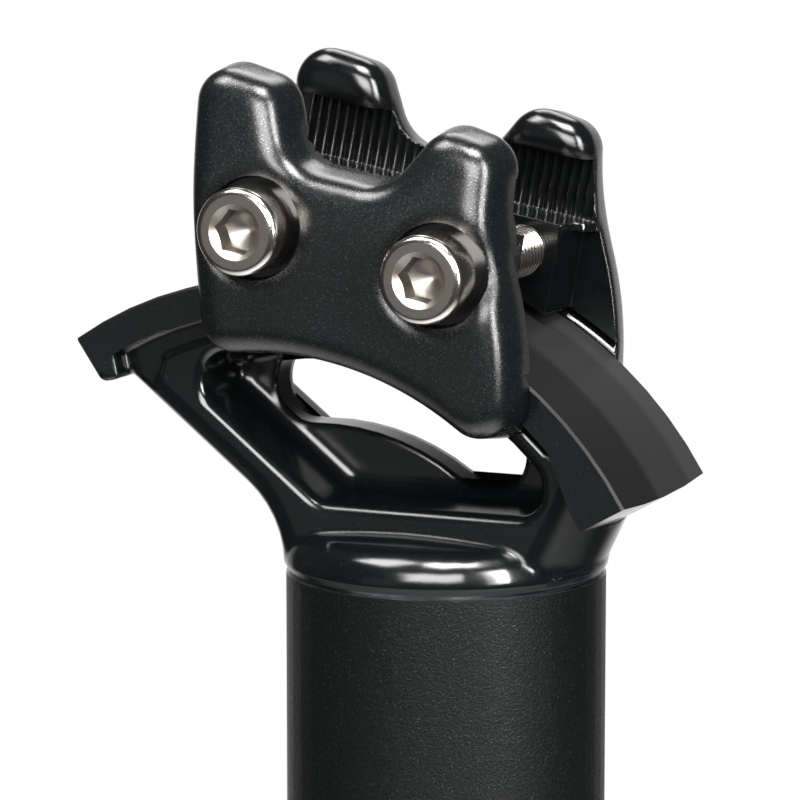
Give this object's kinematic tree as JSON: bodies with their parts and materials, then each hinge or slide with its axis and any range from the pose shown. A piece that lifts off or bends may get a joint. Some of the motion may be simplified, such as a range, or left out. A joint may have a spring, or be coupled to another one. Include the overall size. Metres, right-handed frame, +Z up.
{
  "type": "seatpost",
  "caption": "Bicycle seatpost: a round tube with a forged head, a curved tilt rail and a clamp of toothed plates and socket bolts that grips a single-beam saddle.",
  "frame": {"origin": "on the tube's axis, at the top end of its cylindrical part, under the turned ring", "axes": "+Z up along the tube, +X towards the front of the bicycle, +Y to the rider's left"},
  "size_m": [0.0581, 0.0371, 0.3703],
  "materials": {
    "post_metal": "black anodised: glossy head, matte blasted tube",
    "plate_metal": "satin black anodised",
    "bolt_metal": "bright stainless"
  },
  "bodies": {
    "post": {"post": "post_metal"},
    "clamp": {"right_clamp_plate": "plate_metal", "left_clamp_plate": "plate_metal", "front_clamp_bolt": "bolt_metal", "rear_clamp_bolt": "bolt_metal"}
  },
  "joints": [
    {"name": "saddle_tilt", "type": "hinge", "parent": "post", "child": "clamp", "pos_m": [-0.0121, 0, -0.0109], "axis": [0, 1, 0], "range_deg": [-16, 2.5]}
  ]
}
